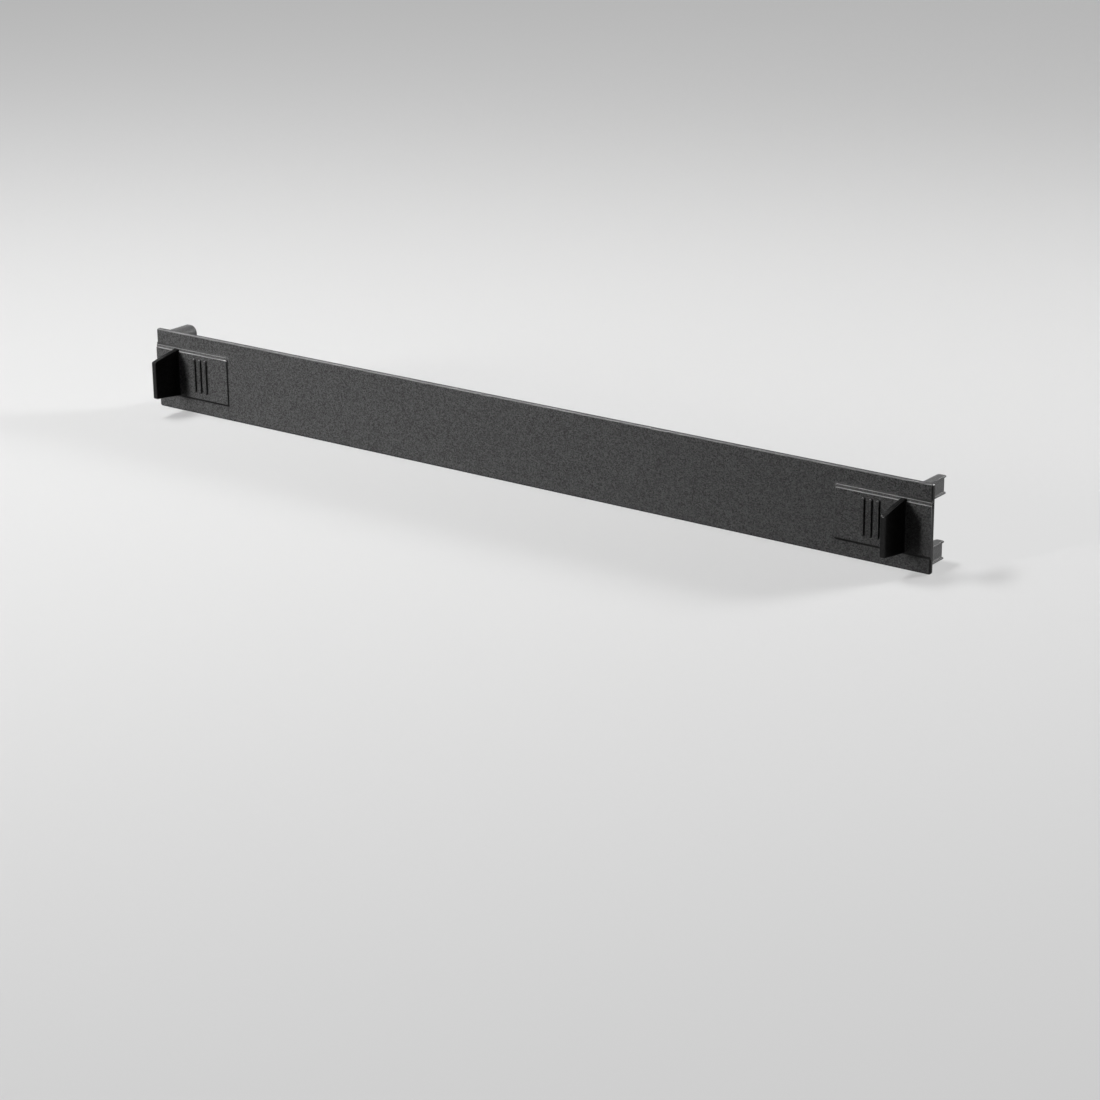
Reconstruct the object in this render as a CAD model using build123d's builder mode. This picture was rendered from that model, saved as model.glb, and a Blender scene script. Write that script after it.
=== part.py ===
"""Blanking panel, one unit high, for a 19-inch rack: one plastic moulding that clips into the square holes.

+X is the panel's right as seen from the front, +Y points into the rack and +Z is up.
The origin is the middle of the back face, the plane that lies on the rack's rails.
"""
import os

from build123d import *

# Rack standard
panel_width = 482.6
rack_unit = 44.45
stack_gap = 0.8
rail_width = 16.3
hole_row_inset = 8.75
hole_size = 9.5
unit_edge_to_hole = 6.35

# Plate
plate_thickness = 2.0
plate_corner_radius = 1.2
plate_edge_round = 0.8

# Raised pad at each end, on a lower base that shows as a strip along its top edge
pad_length = 51.3
pad_height = 25.0
pad_drop = 0.8
pad_rise = 0.7
pad_corner_radius = 0.5
pad_edge_round = 0.2
strip_height = 1.4
strip_rise = 0.35

# Finger ribs on the pad, beside the grip
rib_count = 3
rib_pitch = 4.0
rib_width = 1.8
rib_top_margin = 2.4
rib_bottom_margin = 4.0
rib_rise = 0.9
rib_crown_round = 0.35
grip_to_rib = 11.5

# Pull grip on the pad
grip_inset = 13.3
grip_thickness = 3.0
grip_taper = 0.3
grip_reach = 18.1
grip_root_overlap = 1.0
grip_top_drop = 1.4
grip_bottom_rise = 2.0
grip_bevel_length = 5.0
grip_bevel_drop = 1.1
grip_bevel_round = 3.0
grip_corner_round = 0.9
grip_root_chamfer = 0.6
grip_edge_round = 0.4

# Clip pegs on the back
peg_clearance = 0.25
peg_width = 7.0
peg_depth = 17.8
peg_inner_flat = 1.0
peg_lip = 1.0
peg_recess = 0.9
peg_tip_chamfer = 0.3

# Stiffening ribs on the back
stiffener_clearance = 5.0
stiffener_thickness = 1.6
stiffener_height = 3.5
stiffener_spacing = 20.0
stiffener_draft = 2.0

# Worked out from the above
panel_height = rack_unit - stack_gap
half_width = panel_width / 2
pad_bottom = -pad_drop - pad_height / 2
pad_top = pad_bottom + pad_height
pad_middle_x = half_width - pad_length / 2
pad_face_y = -plate_thickness - pad_rise
grip_x = half_width - grip_inset - grip_thickness / 2
grip_tip_y = pad_face_y - grip_reach
grip_root_top = pad_top + grip_root_overlap
peg_height = hole_size - 2 * peg_clearance
peg_outer_x = half_width - hole_row_inset + hole_size / 2 - peg_clearance
peg_z = rack_unit / 2 - unit_edge_to_hole
front_plane = Plane.XZ.offset(plate_thickness)


def make_plate() -> Part:
    """The flat plate, with its front rim rounded."""
    with BuildPart() as plate:
        with BuildSketch(Plane.XZ):
            RectangleRounded(panel_width, panel_height, plate_corner_radius)
        extrude(amount=plate_thickness)
        fillet(plate.faces().sort_by(Axis.Y)[0].edges(), radius=plate_edge_round)
    return plate.part


def make_pad_step(height: float, corner_radius: float, rise: float) -> Part:
    """One step of the right-hand pad, from the plate's back to its rise, square at the panel's end."""
    with BuildPart() as step:
        with BuildSketch(Plane.XZ) as outline:
            with Locations((pad_middle_x, pad_bottom + height / 2)):
                Rectangle(pad_length, height)
            inner_corners = outline.vertices().group_by(Axis.X)[0].sort_by(Axis.Y)
            fillet(inner_corners[0], radius=pad_corner_radius)
            fillet(outline.vertices().sort_by_distance(inner_corners[1])[0], radius=corner_radius)
        extrude(amount=plate_thickness + rise)
        fillet(step.faces().sort_by(Axis.Y)[0].edges().sort_by(Axis.X)[:-1], radius=pad_edge_round)
    return step.part


def make_finger_ribs() -> Part:
    """The upright ribs beside the grip, with round ends and round crowns."""
    first_x = grip_x - grip_thickness / 2 - grip_to_rib
    rib_bottom = pad_bottom + rib_bottom_margin
    rib_top = pad_top - rib_top_margin
    with BuildPart() as ribs:
        with BuildSketch(front_plane):
            for index in range(rib_count):
                with Locations((first_x - index * rib_pitch, (rib_bottom + rib_top) / 2)):
                    SlotOverall(rib_top - rib_bottom, rib_width, rotation=90)
        extrude(amount=pad_rise + rib_rise)
        fillet(ribs.faces().group_by(Axis.Y)[0].edges(), radius=rib_crown_round)
    return ribs.part


def make_grip() -> Part:
    """The pull grip: its tapered plan cut to its side outline, with the blade's rims rounded."""
    half_root = grip_thickness / 2
    half_tip = half_root - grip_taper / 2
    half_foot = half_root + grip_root_chamfer
    root_y = -plate_thickness
    blade_y = pad_face_y - grip_root_chamfer
    with BuildPart() as grip:
        with BuildSketch(Plane.XY.offset(pad_bottom)):
            with BuildLine():
                Polyline(
                    (grip_x - half_foot, root_y),
                    (grip_x - half_foot, pad_face_y),
                    (grip_x - half_root, blade_y),
                    (grip_x - half_tip, grip_tip_y),
                    (grip_x + half_tip, grip_tip_y),
                    (grip_x + half_root, blade_y),
                    (grip_x + half_foot, pad_face_y),
                    (grip_x + half_foot, root_y),
                    close=True,
                )
            make_face()
        extrude(amount=grip_root_top - pad_bottom)
        with BuildSketch(Plane.YZ.offset(grip_x - half_foot)) as side:
            with BuildLine():
                Polyline(
                    (root_y, pad_bottom),
                    (pad_face_y, pad_bottom),
                    (grip_tip_y, pad_bottom + grip_bottom_rise),
                    (grip_tip_y, pad_top - grip_top_drop - grip_bevel_drop),
                    (grip_tip_y + grip_bevel_length, pad_top - grip_top_drop),
                    (pad_face_y, grip_root_top),
                    (root_y, grip_root_top),
                    close=True,
                )
            make_face()
            bevel_corner = (grip_tip_y + grip_bevel_length, pad_top - grip_top_drop)
            fillet(side.vertices().sort_by_distance(bevel_corner)[0], radius=grip_bevel_round)
            fillet(side.vertices().group_by(Axis.X)[0], radius=grip_corner_round)
        extrude(amount=2 * half_foot, mode=Mode.INTERSECT)
        blade_faces = grip.faces().sort_by(SortBy.AREA)[-2:]
        rims = [blade_face.edges().sort_by(Axis.Y)[:-1] for blade_face in blade_faces]
        fillet(rims[0] + rims[1], radius=grip_edge_round)
    return grip.part


def make_upper_peg() -> Part:
    """The upper right clip peg: round on its inner side, and hollowed between two lips on its outer side."""
    with BuildPart() as peg:
        with BuildSketch(Plane.XZ) as section:
            with Locations((peg_outer_x - peg_width / 2, peg_z)):
                Rectangle(peg_width, peg_height)
            fillet(section.vertices().group_by(Axis.X)[0], radius=(peg_height - peg_inner_flat) / 2)
            with Locations((peg_outer_x - peg_recess / 2, peg_z)):
                Rectangle(peg_recess, peg_height - 2 * peg_lip, mode=Mode.SUBTRACT)
        extrude(amount=-peg_depth)
        chamfer(peg.faces().sort_by(Axis.Y)[-1].edges(), length=peg_tip_chamfer)
    return peg.part


def make_stiffeners() -> Part:
    """The two low ribs along the back, short enough to pass between the rack's rails."""
    length = panel_width - 2 * (rail_width + stiffener_clearance)
    with BuildPart() as stiffeners:
        with BuildSketch(Plane.XZ):
            with GridLocations(0, stiffener_spacing, 1, 2):
                SlotOverall(length, stiffener_thickness)
        extrude(amount=-stiffener_height, taper=stiffener_draft)
    return stiffeners.part


plate = make_plate()
pad_base = make_pad_step(pad_height + strip_height, strip_height, strip_rise)
pad_face = make_pad_step(pad_height, pad_corner_radius, pad_rise)
finger_ribs = make_finger_ribs()
grip = make_grip()
upper_peg = make_upper_peg()
stiffeners = make_stiffeners()

with BuildPart() as blanking_panel:
    add(upper_peg)
    mirror(about=Plane.XY)
    add(pad_base)
    add(pad_face)
    add(finger_ribs)
    add(grip)
    mirror(about=Plane.YZ)
    add(plate)
    add(stiffeners)

blanking_panel.part.label = "blanking_panel"
os.makedirs("parts", exist_ok=True)
export_step(blanking_panel.part, "parts/blanking_panel.step")
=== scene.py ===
"""Looks of the rack blanking panel: one black plastic moulding, set upright on a pale studio floor.

Sizes are in millimetres until a mesh is made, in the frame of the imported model: +X is the panel's
right as seen from the front, +Y points into the rack, +Z is up, and the back face lies at Y = 0.
"""
import logging
import math
from dataclasses import dataclass, field, replace
from enum import Enum, IntEnum

import bpy
import numpy as np
from mathutils import Matrix, Vector


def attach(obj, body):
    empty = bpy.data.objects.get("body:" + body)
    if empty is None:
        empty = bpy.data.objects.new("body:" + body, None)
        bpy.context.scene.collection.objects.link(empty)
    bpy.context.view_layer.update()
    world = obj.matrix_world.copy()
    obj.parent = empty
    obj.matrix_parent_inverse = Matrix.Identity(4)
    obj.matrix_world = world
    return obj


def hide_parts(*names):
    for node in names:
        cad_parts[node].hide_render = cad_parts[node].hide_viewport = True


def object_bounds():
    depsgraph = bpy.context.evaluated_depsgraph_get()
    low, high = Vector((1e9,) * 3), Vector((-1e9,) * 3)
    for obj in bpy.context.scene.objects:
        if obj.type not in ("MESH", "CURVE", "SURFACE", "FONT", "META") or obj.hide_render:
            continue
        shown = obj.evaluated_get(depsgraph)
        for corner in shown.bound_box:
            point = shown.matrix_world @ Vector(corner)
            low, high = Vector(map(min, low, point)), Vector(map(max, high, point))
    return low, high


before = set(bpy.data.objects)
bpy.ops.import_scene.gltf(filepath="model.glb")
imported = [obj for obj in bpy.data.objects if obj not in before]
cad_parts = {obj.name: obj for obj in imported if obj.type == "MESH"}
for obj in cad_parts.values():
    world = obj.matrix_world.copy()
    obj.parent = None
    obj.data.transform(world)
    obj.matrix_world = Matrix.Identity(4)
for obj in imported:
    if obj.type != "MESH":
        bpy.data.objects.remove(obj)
cad_low, cad_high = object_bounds()

log = logging.getLogger("blanking_panel")

BODY = "root"
NODE = "blanking_panel"

MM = 0.001  # metres in a millimetre
CLOSE = 1e-6  # points nearer than this are one point
HIDDEN = 0.3  # how deep a surface begins inside the one that it stands on
FILM = 0.01  # thickness of each of the two layers that carry the shade
POLISHING = 0.9  # share of the grain that full polish takes away
SHARP_ANGLE = math.radians(32)  # edges that turn more than this are shaded sharp
FACE_WEIGHT = 100  # makes large flat faces rule the normals along their rims

Colour = tuple[float, float, float]


class Grain(Enum):
    """How strongly the tool's sparked grain shows on a surface."""

    SPARKED = 1.0
    LIGHT = 0.7
    POLISHED = 0.1


class Column(IntEnum):
    """The columns of a profile, which has a row for each ring of a surface."""

    INSET = 0
    PLACE = 1
    # this column holds the painted highlight on upper edges, SHADED the painted shade under lower
    # ones
    HIGHLIGHT = 2
    SHADED = 3
    POLISH = 4


@dataclass(frozen=True)
class Surface:
    """A closed surface with two values at each point: its grain, and its painted highlight and
    shade.

    Args:
        points: places of the points, one row each.
        faces: point numbers of each face, anticlockwise from outside.
        grain: strength of the grain at each point.
        edge: up to 1 for a painted highlight on an upper edge, down to -1 for painted shade below a
            lower one, 0 elsewhere.
    """

    points: np.ndarray
    faces: list[list[int]]
    grain: np.ndarray
    edge: np.ndarray

    def mirrored(self) -> "Surface":
        """The same surface at the other end: x turns to -x and each face is listed backwards."""
        faces = [face[::-1] for face in self.faces]
        return Surface(self.points * np.array([-1.0, 1.0, 1.0]), faces, self.grain, self.edge)

    @staticmethod
    def joined(surfaces: list["Surface"]) -> "Surface":
        """Lists several surfaces as one.

        Args:
            surfaces: the surfaces, which keep their order.

        Returns:
            One surface that holds them all.
        """
        starts = np.cumsum([0] + [len(surface.points) for surface in surfaces])
        faces = [[start + number for number in face]
                 for start, surface in zip(starts.tolist(), surfaces) for face in surface.faces]
        return Surface(
            np.concatenate([surface.points for surface in surfaces]),
            faces,
            np.concatenate([surface.grain for surface in surfaces]),
            np.concatenate([surface.edge for surface in surfaces]),
        )


def skin(rings: np.ndarray, edge: np.ndarray, grain: np.ndarray) -> Surface:
    """Skins rings of points and closes both ends.

    Quad (r, i) joins points i and i + 1 of rings r and r + 1, and each end ring is one flat face.

    Args:
        rings: places, by ring, point and coordinate, anticlockwise seen from the last ring's side.
        edge: the edge values, by ring and point.
        grain: the grain's strength, by ring and point.

    Returns:
        The closed surface.
    """
    count, around = rings.shape[:2]
    number = np.arange(count * around).reshape(count, around)
    ahead = np.roll(number, -1, axis=1)
    quads = np.stack([number[:-1], ahead[:-1], ahead[1:], number[1:]], axis=-1).reshape(-1, 4)
    faces = quads.tolist() + [number[0, ::-1].tolist(), number[-1].tolist()]
    points = rings.reshape(-1, 3)
    return Surface(points, faces, grain.reshape(-1), edge.reshape(-1))


def rounded_outline(corners: np.ndarray, radii: np.ndarray, steps: int = 9) -> np.ndarray:
    """Rounds the corners of a polygon.

    At a corner P with unit directions u and v to its neighbours and the angle 2h between them, the
    arc's centre is P + r / sin(h) along the bisector, and its points are centre + r (cos t, sin t),
    with t in equal steps between the tangent points P + r / tan(h) u and P + r / tan(h) v.

    Args:
        corners: the polygon's corners, anticlockwise.
        radii: the radius at each corner; 0 keeps it square.
        steps: points on each arc.

    Returns:
        The outline's points, with no point twice.
    """
    back = np.roll(corners, 1, axis=0) - corners
    ahead = np.roll(corners, -1, axis=0) - corners
    back /= np.linalg.norm(back, axis=1, keepdims=True)
    ahead /= np.linalg.norm(ahead, axis=1, keepdims=True)
    half = 0.5 * np.arccos(np.clip((back * ahead).sum(axis=1), -1.0, 1.0))
    bisector = back + ahead
    bisector /= np.linalg.norm(bisector, axis=1, keepdims=True)
    centre = corners + bisector * (radii / np.sin(half))[:, None]
    first = corners + back * (radii / np.tan(half))[:, None] - centre
    last = corners + ahead * (radii / np.tan(half))[:, None] - centre
    start = np.arctan2(first[:, 1], first[:, 0])
    sweep = np.arctan2(last[:, 1], last[:, 0]) - start
    sweep = (sweep + np.pi) % (2 * np.pi) - np.pi
    angle = start[:, None] + sweep[:, None] * np.linspace(0.0, 1.0, steps)
    ways = np.stack([np.cos(angle), np.sin(angle)], axis=-1)
    arcs = centre[:, None] + radii[:, None, None] * ways
    points = arcs.reshape(-1, 2)
    gap = np.linalg.norm(points - np.roll(points, 1, axis=0), axis=1)
    return points[gap > CLOSE]


def inset_directions(outline: np.ndarray, flush_x: float | None) -> np.ndarray:
    """Where each point of an outline goes per millimetre of inset.

    With the inward normals a and b of the two sides at the point and c = a.b, the step s that moves
    the sides in by p and q is s = (p (a - c b) + q (b - c a)) / (1 - c c). p and q are 1, or 0 for
    a side that lies on the panel's end.

    Args:
        outline: the outline's points, anticlockwise.
        flush_x: the x of the panel's end, whose side stays in place, or None.

    Returns:
        One step for each point.
    """
    side = np.roll(outline, -1, axis=0) - outline
    side /= np.linalg.norm(side, axis=1, keepdims=True)
    after = np.stack([-side[:, 1], side[:, 0]], axis=1)
    before = np.roll(after, 1, axis=0)
    moves = np.ones(len(outline))
    if flush_x is not None:
        on_end = np.abs(outline[:, 0] - flush_x) < CLOSE
        moves[on_end & np.roll(on_end, -1)] = 0.0
    cosine = (after * before).sum(axis=1, keepdims=True)
    first = np.roll(moves, 1)[:, None] * (before - cosine * after)
    second = moves[:, None] * (after - cosine * before)
    return (first + second) / (1.0 - cosine ** 2)


def carried(
    outline: np.ndarray,
    profile: np.ndarray,
    grain: Grain,
    flush_x: float | None = None,
) -> Surface:
    """Carries an outline in X and Z along Y while it is inset by steps s of its points.

    With a row's inset n and place y, ring = (x + n s_x, y, z + n s_z). A point's edge value is the
    row's painted highlight times max(0, -s_z), less the row's painted shade times max(0, s_z), so
    it is above 0 on upper edges and below 0 on lower ones. Its grain is g (1 - k polish |s_x|),
    with k = POLISHING, which polishes the walls that face left or right. At the panel's end, all
    but the last ring are polished fully.

    Args:
        outline: the outline's points (x, z), anticlockwise as seen from the last row's side.
        profile: the rows, with the columns of Column.
        grain: the grain of the flat faces.
        flush_x: the x of the panel's end, or None.

    Returns:
        The closed surface.
    """
    step = inset_directions(outline, flush_x)
    flat = outline[None] + profile[:, Column.INSET, None, None] * step[None]
    depth = np.broadcast_to(profile[:, Column.PLACE, None], flat.shape[:2])
    # painted highlight on upper edges, and below, painted shade under lower ones
    painted_highlight = profile[:, Column.HIGHLIGHT, None] * np.clip(-step[:, 1], 0.0, 1.0)
    shaded = profile[:, Column.SHADED, None] * np.clip(step[:, 1], 0.0, 1.0)
    polish = profile[:, Column.POLISH, None] * np.clip(np.abs(step[:, 0]), 0.0, 1.0)
    if flush_x is not None:
        polish[:-1, np.abs(outline[:, 0] - flush_x) < CLOSE] = 1.0
    places = np.stack([flat[..., 0], depth, flat[..., 1]], axis=-1)
    return skin(places, painted_highlight - shaded, grain.value * (1.0 - POLISHING * polish))


def front_rim(front: float, radius: float, steps: int = 7) -> np.ndarray:
    """A rounded front edge: inset r (1 - cos a) and place front + r (1 - sin a).

    With a from 0 to 90 degrees, it carries a painted highlight by sin 2a, so most in its middle,
    and painted shade and polish by the root of cos a.

    Args:
        front: the y of the face that the edge meets.
        radius: the edge's radius.
        steps: how many rows it has.

    Returns:
        The profile's rows, from the side to the face.
    """
    angle = np.linspace(0.0, np.pi / 2, steps)
    inset, depth = radius * (1 - np.cos(angle)), front + radius * (1 - np.sin(angle))
    wall = np.sqrt(np.clip(np.cos(angle), 0.0, 1.0))
    return np.stack([inset, depth, np.sin(2 * angle), wall, wall], axis=1)


def back_rim(back: float, radius: float, polish: float = 0.0, steps: int = 7) -> np.ndarray:
    """A rounded back edge: the front one turned round, with neither painted highlight nor painted
    shade.

    Args:
        back: the y of the face that the edge meets.
        radius: the edge's radius.
        polish: how much of the front edge's polish it has.
        steps: how many rows it has.

    Returns:
        The profile's rows, from the face to the side.
    """
    rim = front_rim(0.0, radius, steps)[::-1]
    return rim * np.array([1.0, -1.0, 0.0, 0.0, polish]) + np.array([0.0, back, 0.0, 0.0, 0.0])


def root_cove(front: float, radius: float, shade: float, steps: int = 6) -> np.ndarray:
    """A hollow root: inset -r (1 - cos a) and place front - r (1 - sin a), a from 90 to 0 degrees.

    Args:
        front: the y of the face that the root stands on.
        radius: the root's radius.
        shade: how much its lower side is shaded.
        steps: how many rows it has.

    Returns:
        The profile's rows, from the face to the side.
    """
    angle = np.linspace(np.pi / 2, 0.0, steps)
    inset, depth = radius * (np.cos(angle) - 1), front - radius * (1 - np.sin(angle))
    return np.stack([inset, depth, 0 * angle, np.full(steps, shade), 0 * angle], axis=1)


def front_root(front: float, radius: float, apron: float, buried: float = HIDDEN) -> np.ndarray:
    """A hollow root on the front, on a thin film of the face whose lower side fades into shade.

    Args:
        front: the y of the face that the root stands on.
        radius: the root's radius.
        apron: how far the film reaches from the root.
        buried: how deep below the face the surface begins.

    Returns:
        The profile's rows, from below the face to the side.
    """
    start = [
        [-radius - apron, front + buried, 0.0, 0.0, 0.0],
        [-radius - apron, front - FILM, 0.0, 0.0, 0.0],
        [-radius - apron / 2, front - 2 * FILM, 0.0, 1.0, 0.0],
        [-radius, front - 2 * FILM, 0.0, 1.0, 0.0],
    ]
    return np.concatenate([start, root_cove(front, radius, 1.0)[1:]])


def back_root(back: float, radius: float) -> np.ndarray:
    """A hollow root on the back: the front's cove turned round, without shade.

    Args:
        back: the y of the face that the root stands on.
        radius: the root's radius.

    Returns:
        The profile's rows, from the side to below the face.
    """
    cove = root_cove(0.0, radius, 0.0)[::-1] * np.array([1.0, -1.0, 1.0, 1.0, 1.0])
    end = np.array([[-radius, -HIDDEN, 0.0, 0.0, 0.0]])
    return np.concatenate([cove, end]) + np.array([0.0, back, 0.0, 0.0, 0.0])


@dataclass(frozen=True)
class Plate:
    """The flat plate."""

    width: float = 482.6
    height: float = 43.65
    thickness: float = 2.0
    corner_radius: float = 1.2
    front_round: float = 0.8
    back_round: float = 0.12
    # share of the painted highlight that the plate's front rim carries
    rim_highlight: float = 0.6

    @property
    def end(self) -> float:
        """The x of the panel's right end."""
        return self.width / 2

    @property
    def front(self) -> float:
        """The y of the front face."""
        return -self.thickness

    def build(self) -> Surface:
        """Carries the rim's profile round the plate's outline.

        Returns:
            The plate's surface.
        """
        half = np.array([self.width, self.height]) / 2
        corners = half * np.array([[-1.0, -1.0], [1.0, -1.0], [1.0, 1.0], [-1.0, 1.0]])
        outline = rounded_outline(corners, np.full(4, self.corner_radius))
        front_edge = front_rim(self.front, self.front_round)
        front_edge[:, Column.HIGHLIGHT] *= self.rim_highlight
        back_edge = back_rim(0.0, self.back_round, 1.0)
        return carried(outline, np.concatenate([back_edge, front_edge]), Grain.SPARKED)


@dataclass(frozen=True)
class EndPad:
    """The raised pad at the right end, and the lower strip that shows along its top edge."""

    plate: Plate
    length: float = 51.3
    height: float = 25.0
    drop: float = 0.8
    rise: float = 0.7
    corner_radius: float = 0.8
    edge_round: float = 0.5
    root_round: float = 0.15
    apron: float = 0.9
    strip_height: float = 1.4
    strip_rise: float = 0.35
    # painted highlight that the whole strip carries at least
    strip_highlight: float = 0.15
    wall_polish: float = 0.8

    @property
    def inner(self) -> float:
        """The x of the pad's inner end."""
        return self.plate.end - self.length

    @property
    def bottom(self) -> float:
        """The z of the pad's lower edge."""
        return -self.drop - self.height / 2

    @property
    def top(self) -> float:
        """The z of the pad's upper edge, where the strip begins."""
        return self.bottom + self.height

    @property
    def face(self) -> float:
        """The y of the pad's face."""
        return self.plate.front - self.rise

    def build(self) -> list[Surface]:
        """The pad's face step and its strip."""
        return [self._face_step(), self._strip()]

    def _face_step(self) -> Surface:
        """Makes the pad's face step, a rounded rectangle that is square at the panel's end.

        Returns:
            The step's surface.
        """
        end = self.plate.end
        corners = np.array([
            [self.inner, self.bottom],
            [end, self.bottom],
            [end, self.top],
            [self.inner, self.top],
        ])
        radii = np.array([self.corner_radius, 0.0, 0.0, self.corner_radius])
        return self._raised(rounded_outline(corners, radii), self.rise)

    def _strip(self) -> Surface:
        """Makes the strip, with a quarter round at its inner end and its lower side in the pad.

        Returns:
            The strip's surface, with a little painted highlight all over.
        """
        end, over = self.plate.end, self.top + self.strip_height
        buried = 2 * self.corner_radius
        under = self.top - buried
        corners = np.array([
            [self.inner + buried, under],
            [end - buried, under],
            [end, self.top],
            [end, over],
            [self.inner, over],
            [self.inner, self.top - self.corner_radius],
        ])
        radii = np.array([0.0, 0.0, 0.0, 0.0, self.strip_height, 0.0])
        strip = self._raised(rounded_outline(corners, radii), self.strip_rise)
        return replace(strip, edge=np.maximum(strip.edge, self.strip_highlight))

    def _raised(self, outline: np.ndarray, rise: float) -> Surface:
        """Raises an outline from inside the plate to a face, flush at the panel's end.

        Args:
            outline: the step's outline.
            rise: how far its face stands proud of the plate.

        Returns:
            The step's surface.
        """
        front = self.plate.front
        root = front_root(front, self.root_round, self.apron, self.plate.front_round)
        rim = front_rim(front - rise, min(self.edge_round, rise - self.root_round))
        rim[:, Column.POLISH] *= self.wall_polish
        return carried(outline, np.concatenate([root, rim]), Grain.SPARKED, self.plate.end)


@dataclass(frozen=True)
class FingerRibs:
    """Three upright ribs beside the grip, with round ends and round crowns."""

    pad: EndPad
    first_x: float
    count: int = 3
    pitch: float = 4.0
    width: float = 1.8
    top_margin: float = 2.4
    bottom_margin: float = 4.0
    rise: float = 0.9
    crown_round: float = 0.35
    root_round: float = 0.12
    apron: float = 0.4

    def build(self) -> list[Surface]:
        """The ribs, from the grip inwards."""
        return [self._rib(self.first_x - number * self.pitch) for number in range(self.count)]

    def _rib(self, middle: float) -> Surface:
        """Makes one rib, a slot-shaped outline with a rounded crown.

        Args:
            middle: the x of the rib's middle.

        Returns:
            The rib's surface.
        """
        half = self.width / 2
        left, right = middle - half, middle + half
        low, high = self.pad.bottom + self.bottom_margin, self.pad.top - self.top_margin
        corners = np.array([[left, low], [right, low], [right, high], [left, high]])
        outline = rounded_outline(corners, np.full(4, half))
        root = front_root(self.pad.face, self.root_round, self.apron)
        crown = front_rim(self.pad.face - self.rise, self.crown_round)
        return carried(outline, np.concatenate([root, crown]), Grain.LIGHT)


@dataclass(frozen=True)
class PullGrip:
    """The upright pull grip on the pad: a polished, tapered blade with rounded rims."""

    pad: EndPad
    inset: float = 13.3
    thickness: float = 3.0
    taper: float = 0.3
    reach: float = 18.1
    root_overlap: float = 1.0
    top_drop: float = 1.4
    bottom_rise: float = 2.0
    bevel_length: float = 5.0
    bevel_drop: float = 1.1
    corner_round: float = 0.9
    root_round: float = 0.15
    edge_round: float = 0.4
    turn_rings: int = 12
    blade_rings: int = 25
    corner_steps: int = 7

    @property
    def middle(self) -> float:
        """The x of the blade's middle plane."""
        return self.pad.plate.end - self.inset - self.thickness / 2

    def build(self) -> Surface:
        """Stacks rounded rectangles from the root to the tip.

        At a distance s from the tip, the blade is narrower by e - sqrt(e e - (e - s)(e - s)) on
        each side while s < e, and lower by the same with the corner radius. Near the pad it widens
        by c - sqrt(c c - (c - q)(c - q)), with q the distance from the pad's face.

        Returns:
            The grip's surface, polished all over.
        """
        reach, face = self.reach, self.pad.face
        turn = np.linspace(0.0, np.pi / 2, self.turn_rings)
        near_tip = self.corner_round * (1 - np.cos(turn))
        near_root = reach - self.root_round * (1 - np.sin(turn))
        along = np.linspace(self.corner_round, reach - self.root_round, self.blade_rings)[1:-1]
        tip_gap = np.concatenate([near_root[::-1], along[::-1], near_tip[::-1]])
        root_gap = reach - tip_gap

        half = self.thickness / 2 - self.taper / 2 * root_gap / reach
        half = half - self._hollow(tip_gap, self.edge_round)
        half = half + self._hollow(root_gap, self.root_round)
        shoulder = self.pad.top - self.top_drop
        top = np.interp(
            tip_gap,
            [0.0, self.bevel_length, reach],
            [shoulder - self.bevel_drop, shoulder, self.pad.top + self.root_overlap],
        )
        low = self.pad.bottom + self.bottom_rise * root_gap / reach
        drop = self._hollow(tip_gap, self.corner_round)
        top, low = top - drop, low + drop
        place = face - root_gap

        foot = np.array([face + HIDDEN + self.pad.edge_round, face + self.pad.edge_round])
        half = np.concatenate([[half[0]], [half[0]], half])
        top = np.concatenate([[top[0] - HIDDEN], [top[0]], top])
        low = np.concatenate([[low[0] + HIDDEN], [low[0]], low])
        rings = self._rings(half, low, top, np.concatenate([foot, place]))
        grid = rings.shape[:2]
        return skin(rings, np.zeros(grid), np.full(grid, Grain.POLISHED.value))

    @staticmethod
    def _hollow(gap: np.ndarray, radius: float) -> np.ndarray:
        """How far a round of this radius cuts in at a distance from the edge."""
        left = np.clip(radius - gap, 0.0, radius)
        return radius - np.sqrt(radius ** 2 - left ** 2)

    def _rings(
        self, half: np.ndarray, low: np.ndarray, top: np.ndarray, place: np.ndarray
    ) -> np.ndarray:
        """Rounded rectangles, with corner centres (x +- (h - e), z_low + e or z_top - e).

        Each corner adds e (cos t, sin t) to its centre, with t over its quarter turn.

        Args:
            half: half the thickness at each ring.
            low: the lower edge at each ring.
            top: the upper edge at each ring.
            place: the y of each ring.

        Returns:
            The rings, by ring, point and coordinate.
        """
        radius = self.edge_round
        quarter = np.linspace(0.0, np.pi / 2, self.corner_steps)
        angle = np.array([-np.pi, -np.pi / 2, 0.0, np.pi / 2])[:, None] + quarter
        side = np.array([-1.0, 1.0, 1.0, -1.0])[:, None]
        upper = np.array([0.0, 0.0, 1.0, 1.0])[:, None]
        x = self.middle + side * (half[:, None, None] - radius) + radius * np.cos(angle)
        level = low[:, None, None] + radius + upper * (top - low - 2 * radius)[:, None, None]
        z = level + radius * np.sin(angle)
        y = np.broadcast_to(place[:, None, None], x.shape)
        return np.stack([x, y, z], axis=-1).reshape(len(half), -1, 3)


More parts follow.
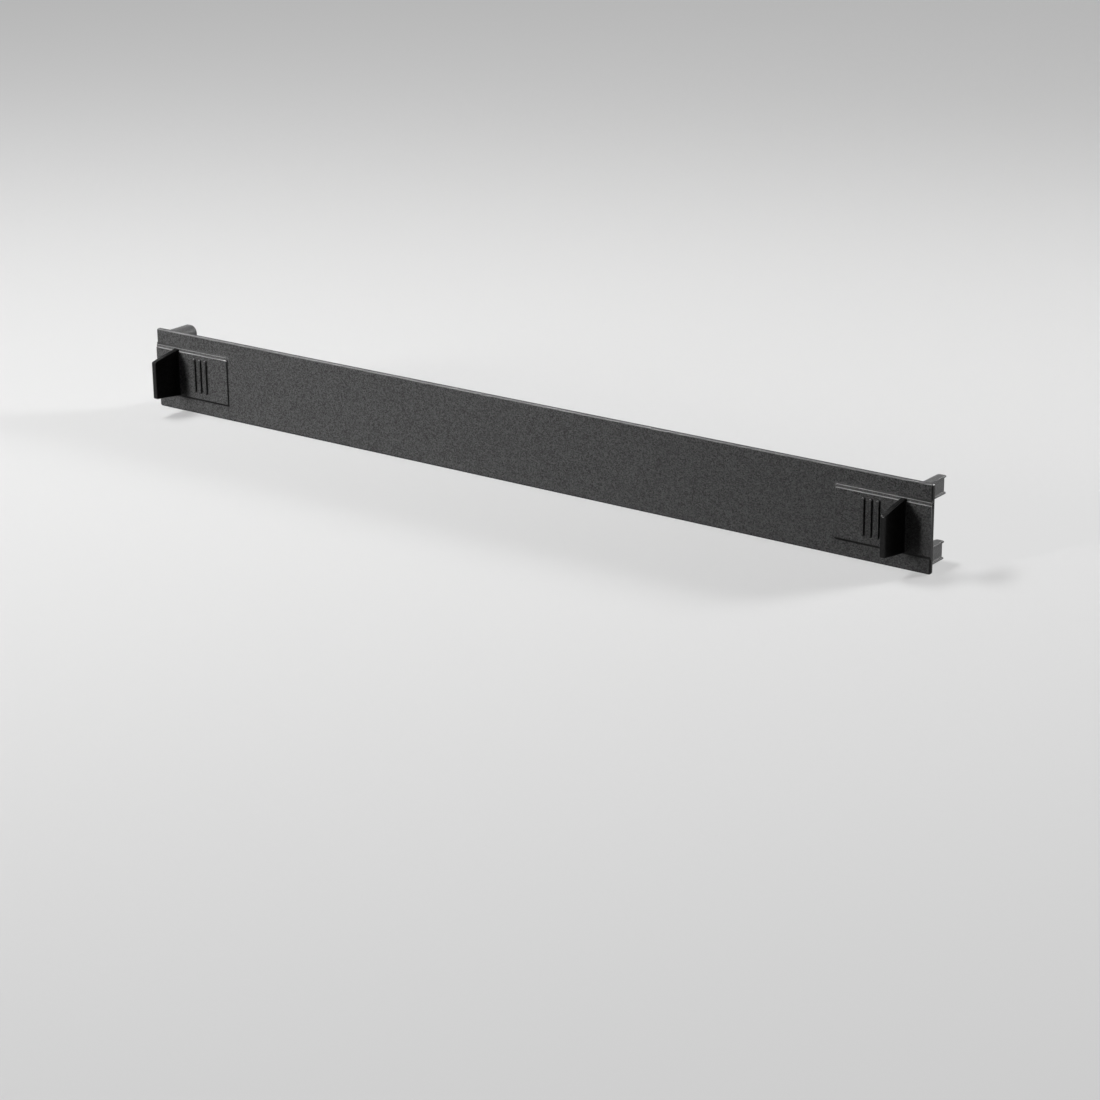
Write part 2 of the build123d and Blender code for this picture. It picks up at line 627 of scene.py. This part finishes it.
@dataclass(frozen=True)
class ClipPeg:
    """A clip peg on the back: round on its inner side, hollowed between two lips on its outer."""

    outer: float = 237.05
    level: float = 15.875
    width: float = 7.0
    height: float = 9.0
    depth: float = 17.8
    inner_flat: float = 1.0
    lip: float = 1.0
    recess: float = 0.9
    lip_round: float = 0.3
    tip_round: float = 0.25
    root_round: float = 0.4
    # share of the painted highlight colour over the whole peg
    painted_highlight: float = 0.25
    corner_steps: int = 13

    def build(self) -> Surface:
        """Carries the D-shaped section from the tip to the plate.

        Returns:
            The peg's surface, with a little painted highlight all over.
        """
        inner, floor = self.outer - self.width, self.outer - self.recess
        half = self.height / 2
        shelf = half - self.lip
        corners = np.array([
            [inner, -half],
            [self.outer, -half],
            [self.outer, -shelf],
            [floor, -shelf],
            [floor, shelf],
            [self.outer, shelf],
            [self.outer, half],
            [inner, half],
        ]) + np.array([0.0, self.level])
        radii = np.full(8, self.lip_round)
        radii[[0, 7]] = (self.height - self.inner_flat) / 2
        outline = rounded_outline(corners, radii, self.corner_steps)
        tip, root = back_rim(self.depth, self.tip_round), back_root(0.0, self.root_round)
        shape = carried(outline, np.concatenate([tip, root]), Grain.LIGHT)
        return replace(shape, edge=np.full(len(shape.points), self.painted_highlight))


@dataclass(frozen=True)
class Stiffener:
    """A low rib along the back, with sides that lean in towards its crest."""

    level: float
    length: float = 440.0
    thickness: float = 1.6
    height: float = 3.5
    draft_deg: float = 2.0
    crest_round: float = 0.3
    root_round: float = 0.4

    def build(self) -> Surface:
        """Carries the slot-shaped outline from the crest to the plate, inset by y tan(draft).

        Returns:
            The rib's surface.
        """
        half = self.thickness / 2
        reach = self.length / 2
        corners = np.array([[-reach, -half], [reach, -half], [reach, half], [-reach, half]])
        outline = rounded_outline(corners + np.array([0.0, self.level]), np.full(4, half))
        crest, root = back_rim(self.height, self.crest_round), back_root(0.0, self.root_round)
        profile = np.concatenate([crest, root])
        slope = math.tan(math.radians(self.draft_deg))
        profile[:, Column.INSET] += slope * np.clip(profile[:, Column.PLACE], 0.0, None)
        return carried(outline, profile, Grain.LIGHT)


def mix_colours(
    nodes: bpy.types.Nodes,
    links: bpy.types.NodeLinks,
    mask: bpy.types.NodeSocket,
    under: bpy.types.NodeSocket | Colour,
    over: bpy.types.NodeSocket | Colour,
) -> bpy.types.NodeSocket:
    """Lays one colour over another.

    Args:
        nodes: the nodes of the material.
        links: its links.
        mask: the share of the upper colour.
        under: the lower colour, or a socket that gives it.
        over: the upper colour, or a socket that gives it.

    Returns:
        The socket that gives the mixed colour.
    """
    mix = nodes.new("ShaderNodeMix")
    mix.data_type = "RGBA"
    links.new(mask, mix.inputs["Factor"])
    for label, colour in (("A", under), ("B", over)):
        if isinstance(colour, bpy.types.NodeSocket):
            links.new(colour, mix.inputs[label])
        else:
            mix.inputs[label].default_value = (*colour, 1.0)
    return mix.outputs["Result"]


@dataclass(frozen=True)
class GrainGroup:
    """Shader node group for the sparked grain of a moulding: noise, with a pit in each cell."""

    name: str = "Sparked grain"
    detail: float = 2.0
    coarseness: float = 0.65
    pit_depth: float = 0.6

    def build(self) -> bpy.types.NodeTree:
        """Makes the group once.

        Returns:
            A group that takes Position, Cells per metre and Strength, and gives Height and Fleck.
        """
        tree = bpy.data.node_groups.new(self.name, "ShaderNodeTree")
        for label, kind, way in (
            ("Position", "NodeSocketVector", "INPUT"),
            ("Cells per metre", "NodeSocketFloat", "INPUT"),
            ("Strength", "NodeSocketFloat", "INPUT"),
            ("Height", "NodeSocketFloat", "OUTPUT"),
            ("Fleck", "NodeSocketFloat", "OUTPUT"),
        ):
            tree.interface.new_socket(label, in_out=way, socket_type=kind)
        nodes, links = tree.nodes, tree.links
        given = nodes.new("NodeGroupInput")
        result = nodes.new("NodeGroupOutput")
        ground = nodes.new("ShaderNodeTexNoise")
        ground.inputs["Detail"].default_value = self.detail
        ground.inputs["Roughness"].default_value = self.coarseness
        pits = nodes.new("ShaderNodeTexVoronoi")
        pits.feature = "F1"
        fleck = nodes.new("ShaderNodeSeparateColor")
        height = nodes.new("ShaderNodeMath")
        height.operation = "MULTIPLY_ADD"
        height.inputs[1].default_value = self.pit_depth
        masked = nodes.new("ShaderNodeMath")
        masked.operation = "MULTIPLY"
        for texture in (ground, pits):
            links.new(given.outputs["Position"], texture.inputs["Vector"])
            links.new(given.outputs["Cells per metre"], texture.inputs["Scale"])
        links.new(pits.outputs["Distance"], height.inputs[0])
        links.new(ground.outputs["Fac"], height.inputs[2])
        links.new(height.outputs[0], masked.inputs[0])
        links.new(given.outputs["Strength"], masked.inputs[1])
        links.new(masked.outputs[0], result.inputs["Height"])
        links.new(pits.outputs["Color"], fleck.inputs["Color"])
        links.new(fleck.outputs["Red"], result.inputs["Fleck"])
        return tree


@dataclass(frozen=True)
class MouldedPlastic:
    """Black plastic, sparked on its flat faces and polished on its grips and end walls.

    Its upper edges carry a painted highlight, and its lower ones a line of painted shade.
    """

    name: str = "black_plastic"
    smooth: Colour = (0.005, 0.005, 0.005)
    dark: Colour = (0.017, 0.017, 0.017)
    pale: Colour = (0.076, 0.076, 0.076)
    # painted highlight colour, mixed in on upper edges
    edge: Colour = (0.240, 0.240, 0.240)
    shade: Colour = (0.001, 0.001, 0.001)
    specular: float = 0.15
    roughness_low: float = 0.18
    roughness_high: float = 0.52
    cells_per_metre: float = 1900.0
    grain_depth: float = 0.20 * MM
    full_range: float = 2.0

    def build(self) -> bpy.types.Material:
        """Makes the material.

        The roughness follows the grain less the edge value: it is roughness_low at 0 and
        roughness_high at 1, and rises as steeply up to full_range, in the shade.

        Returns:
            A Principled material whose colour, roughness and normal follow the grain and the edges.
        """
        material = bpy.data.materials.new(self.name)
        material.use_nodes = True
        nodes, links = material.node_tree.nodes, material.node_tree.links
        shader = nodes["Principled BSDF"]
        place = nodes.new("ShaderNodeTexCoord")
        strength = self._attribute(nodes, "grain")
        rounded = self._attribute(nodes, "edge")
        grain = nodes.new("ShaderNodeGroup")
        grain.node_tree = GrainGroup().build()
        grain.inputs["Cells per metre"].default_value = self.cells_per_metre
        links.new(place.outputs["Object"], grain.inputs["Position"])
        links.new(strength.outputs["Fac"], grain.inputs["Strength"])

        below = nodes.new("ShaderNodeMath")
        below.operation = "MULTIPLY"
        below.use_clamp = True
        below.inputs[1].default_value = -1.0
        links.new(rounded.outputs["Fac"], below.inputs[0])
        ground = mix_colours(nodes, links, grain.outputs["Fleck"], self.dark, self.pale)
        face = mix_colours(nodes, links, strength.outputs["Fac"], self.smooth, ground)
        # mixes in the painted highlight on upper edges, then the painted shade under lower ones
        highlighted = mix_colours(nodes, links, rounded.outputs["Fac"], face, self.edge)
        shaded = mix_colours(nodes, links, below.outputs[0], highlighted, self.shade)
        links.new(shaded, shader.inputs["Base Color"])
        shader.inputs["Specular IOR Level"].default_value = self.specular

        flat = nodes.new("ShaderNodeMath")
        flat.operation = "SUBTRACT"
        satin = nodes.new("ShaderNodeMapRange")
        rise = self.full_range * (self.roughness_high - self.roughness_low)
        satin.inputs["From Max"].default_value = self.full_range
        satin.inputs["To Min"].default_value = self.roughness_low
        satin.inputs["To Max"].default_value = self.roughness_low + rise
        links.new(strength.outputs["Fac"], flat.inputs[0])
        links.new(rounded.outputs["Fac"], flat.inputs[1])
        links.new(flat.outputs[0], satin.inputs["Value"])
        links.new(satin.outputs["Result"], shader.inputs["Roughness"])
        bump = nodes.new("ShaderNodeBump")
        bump.inputs["Strength"].default_value = 1.0
        bump.inputs["Distance"].default_value = self.grain_depth
        links.new(grain.outputs["Height"], bump.inputs["Height"])
        links.new(bump.outputs["Normal"], shader.inputs["Normal"])
        return material

    @staticmethod
    def _attribute(nodes: bpy.types.Nodes, name: str) -> bpy.types.Node:
        """Reads one of the mesh's own values.

        Args:
            nodes: the nodes of the material.
            name: the value's name.

        Returns:
            The node that reads it.
        """
        node = nodes.new("ShaderNodeAttribute")
        node.attribute_name = name
        return node


@dataclass
class BlankingPanel:
    """The whole moulding: plate, stiffeners, and at each end a pad, ribs, a grip and two pegs."""

    plate: Plate = field(default_factory=Plate)
    peg: ClipPeg = field(default_factory=ClipPeg)
    finish: MouldedPlastic = field(default_factory=MouldedPlastic)
    grip_to_rib: float = 11.5
    stiffener_spacing: float = 20.0

    def surfaces(self) -> list[Surface]:
        """Works out every surface of the moulding.

        Returns:
            The plate, the right end's surfaces, the left end's and the stiffeners.
        """
        pad = EndPad(self.plate)
        grip = PullGrip(pad)
        ribs = FingerRibs(pad, grip.middle - grip.thickness / 2 - self.grip_to_rib)
        upper = self.peg.build()
        drop = np.array([0.0, 0.0, 2 * self.peg.level])
        lower = replace(upper, points=upper.points - drop)
        right = [*pad.build(), *ribs.build(), grip.build(), upper, lower]
        left = [surface.mirrored() for surface in right]
        levels = (self.stiffener_spacing / 2, -self.stiffener_spacing / 2)
        stiffeners = [Stiffener(level).build() for level in levels]
        return [self.plate.build(), *right, *left, *stiffeners]

    def build(self) -> bpy.types.Object:
        """Makes the moulding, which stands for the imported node.

        Returns:
            The finished piece.
        """
        shape = Surface.joined(self.surfaces())
        mesh = bpy.data.meshes.new("panel_moulding")
        mesh.from_pydata(shape.points * MM, [], shape.faces)
        mesh.polygons.foreach_set("use_smooth", np.ones(len(mesh.polygons), dtype=bool))
        mesh.set_sharp_from_angle(angle=SHARP_ANGLE)
        for name, values in (("grain", shape.grain), ("edge", shape.edge)):
            kept = mesh.attributes.new(name, "FLOAT", "POINT")
            kept.data.foreach_set("value", values.astype(np.float32))
        mesh.materials.append(self.finish.build())
        piece = bpy.data.objects.new("panel_moulding", mesh)
        bpy.context.scene.collection.objects.link(piece)
        flats = piece.modifiers.new("flat_faces", "WEIGHTED_NORMAL")
        flats.keep_sharp = True
        flats.weight = FACE_WEIGHT
        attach(piece, BODY)
        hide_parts(NODE)
        log.info("made %s: %d points, %d faces", piece.name, len(shape.points), len(shape.faces))
        return piece


def seen_rays(nodes: bpy.types.Nodes, links: bpy.types.NodeLinks) -> bpy.types.NodeSocket:
    """Tells apart the rays that show the floor and the world from those that light by them.

    Args:
        nodes: the nodes of the material or world.
        links: its links.

    Returns:
        A socket that is 1 for camera, glossy and transmission rays, and else 0.
    """
    path = nodes.new("ShaderNodeLightPath")
    seen = path.outputs["Is Camera Ray"]
    for label in ("Is Glossy Ray", "Is Transmission Ray"):
        either = nodes.new("ShaderNodeMath")
        either.operation = "MAXIMUM"
        links.new(seen, either.inputs[0])
        links.new(path.outputs[label], either.inputs[1])
        seen = either.outputs[0]
    return seen


@dataclass(frozen=True)
class StudioFloor:
    """A pale matt floor that the panel stands on, on its lower edge.

    Rays that show it meet a pale paint that glows, and its darker bounce alone lights the panel.
    """

    size: float = 16.0
    shown: Colour = (0.24, 0.24, 0.24)
    glow: Colour = (0.42, 0.42, 0.42)
    bounce: Colour = (0.04, 0.04, 0.04)
    no_glow: Colour = (0.0, 0.0, 0.0)
    roughness: float = 0.9
    specular: float = 0.0

    def build(self, level: float) -> bpy.types.Object:
        """Makes the floor.

        Args:
            level: the height of the floor's top, in metres.

        Returns:
            The floor.
        """
        half = self.size / 2
        mesh = bpy.data.meshes.new("floor")
        corners = [
            (-half, -half, level),
            (half, -half, level),
            (half, half, level),
            (-half, half, level),
        ]
        mesh.from_pydata(corners, [], [(0, 1, 2, 3)])
        mesh.materials.append(self._material())
        floor = bpy.data.objects.new("floor", mesh)
        bpy.context.scene.collection.objects.link(floor)
        log.info("made %s", floor.name)
        return floor

    def _material(self) -> bpy.types.Material:
        """Makes a matt paint that looks paler than the light it throws back on the panel.

        Returns:
            The floor's material.
        """
        material = bpy.data.materials.new("floor_paint")
        material.use_nodes = True
        nodes, links = material.node_tree.nodes, material.node_tree.links
        shader = nodes["Principled BSDF"]
        shader.inputs["Roughness"].default_value = self.roughness
        shader.inputs["Specular IOR Level"].default_value = self.specular
        shader.inputs["Emission Strength"].default_value = 1.0
        seen = seen_rays(nodes, links)
        for socket, hidden, shown in (
            ("Base Color", self.bounce, self.shown),
            ("Emission Color", self.no_glow, self.glow),
        ):
            colour = mix_colours(nodes, links, seen, hidden, shown)
            links.new(colour, shader.inputs[socket])
        return material


def turned_to(place: tuple[float, float, float], aim: tuple[float, float, float]) -> Matrix:
    """Puts a lamp or camera at a place and turns its -Z to an aim."""
    look = (Vector(aim) - Vector(place)).to_track_quat("-Z", "Y").to_matrix().to_4x4()
    return Matrix.Translation(place) @ look


@dataclass(frozen=True)
class Softbox:
    """A rectangular lamp that faces the panel."""

    name: str
    place: tuple[float, float, float]
    aim: tuple[float, float, float]
    width: float
    height: float
    watts: float
    spread_deg: float = 180.0

    def build(self) -> bpy.types.Object:
        """Makes the lamp at its place, turned to its aim.

        Returns:
            The lamp.
        """
        data = bpy.data.lights.new(self.name, "AREA")
        data.shape = "RECTANGLE"
        data.size = self.width
        data.size_y = self.height
        data.energy = self.watts
        data.spread = math.radians(self.spread_deg)
        lamp = bpy.data.objects.new(self.name, data)
        lamp.visible_camera = False
        lamp.matrix_world = turned_to(self.place, self.aim)
        bpy.context.scene.collection.objects.link(lamp)
        log.info("made %s", lamp.name)
        return lamp


@dataclass(frozen=True)
class Studio:
    """The lamps, and the world behind the floor."""

    lamps: tuple[Softbox, ...] = (
        Softbox("key", (-1.3, -2.6, 0.6), (-0.25, 0.0, 0.0), 0.8, 0.8, 2.8, 24.0),
        Softbox("rim", (-0.70, -0.20, 1.10), (-0.05, 0.0, 0.0), 0.60, 0.25, 20.0),
        Softbox("back", (1.3, 1.8, 0.9), (0.2, 0.0, 0.0), 0.6, 0.4, 6.0, 50.0),
    )
    world_light: float = 0.02
    world_shown: float = 0.46

    def build(self) -> None:
        """Makes the lamps, and a world that is paler to see than it lights."""
        for lamp in self.lamps:
            lamp.build()
        world = bpy.data.worlds.new("studio")
        world.use_nodes = True
        nodes, links = world.node_tree.nodes, world.node_tree.links
        background = nodes["Background"]
        background.inputs["Color"].default_value = (1.0, 1.0, 1.0, 1.0)
        strength = nodes.new("ShaderNodeMapRange")
        strength.inputs["To Min"].default_value = self.world_light
        strength.inputs["To Max"].default_value = self.world_shown
        links.new(seen_rays(nodes, links), strength.inputs["Value"])
        links.new(strength.outputs["Result"], background.inputs["Strength"])
        bpy.context.scene.world = world


@dataclass(frozen=True)
class PanelCamera:
    """The camera at the photograph's viewing angle, with no shift."""

    place: tuple[float, float, float] = (0.8805, -1.1461, 0.4445)
    aim: tuple[float, float, float] = (0.02276, 0.0, -0.05367)
    roll_deg: float = -0.605
    lens_mm: float = 98.71
    sensor_mm: float = 36.0
    nearest: float = 0.05
    farthest: float = 60.0

    def build(self) -> bpy.types.Object:
        """Makes the camera and gives it to the scene.

        Returns:
            The camera.
        """
        data = bpy.data.cameras.new("camera")
        data.lens = self.lens_mm
        data.sensor_width = self.sensor_mm
        data.clip_start = self.nearest
        data.clip_end = self.farthest
        camera = bpy.data.objects.new("camera", data)
        roll = Matrix.Rotation(math.radians(self.roll_deg), 4, "Z")
        camera.matrix_world = turned_to(self.place, self.aim) @ roll
        bpy.context.scene.collection.objects.link(camera)
        bpy.context.scene.camera = camera
        return camera


def main() -> None:
    """Builds the camera, the studio, the floor and the panel in order."""
    logging.basicConfig(level=logging.INFO)
    bpy.context.scene.view_settings.view_transform = "Standard"
    PanelCamera().build()
    Studio().build()
    StudioFloor().build(cad_low.z)
    BlankingPanel().build()


if __name__ == "__main__":
    main()
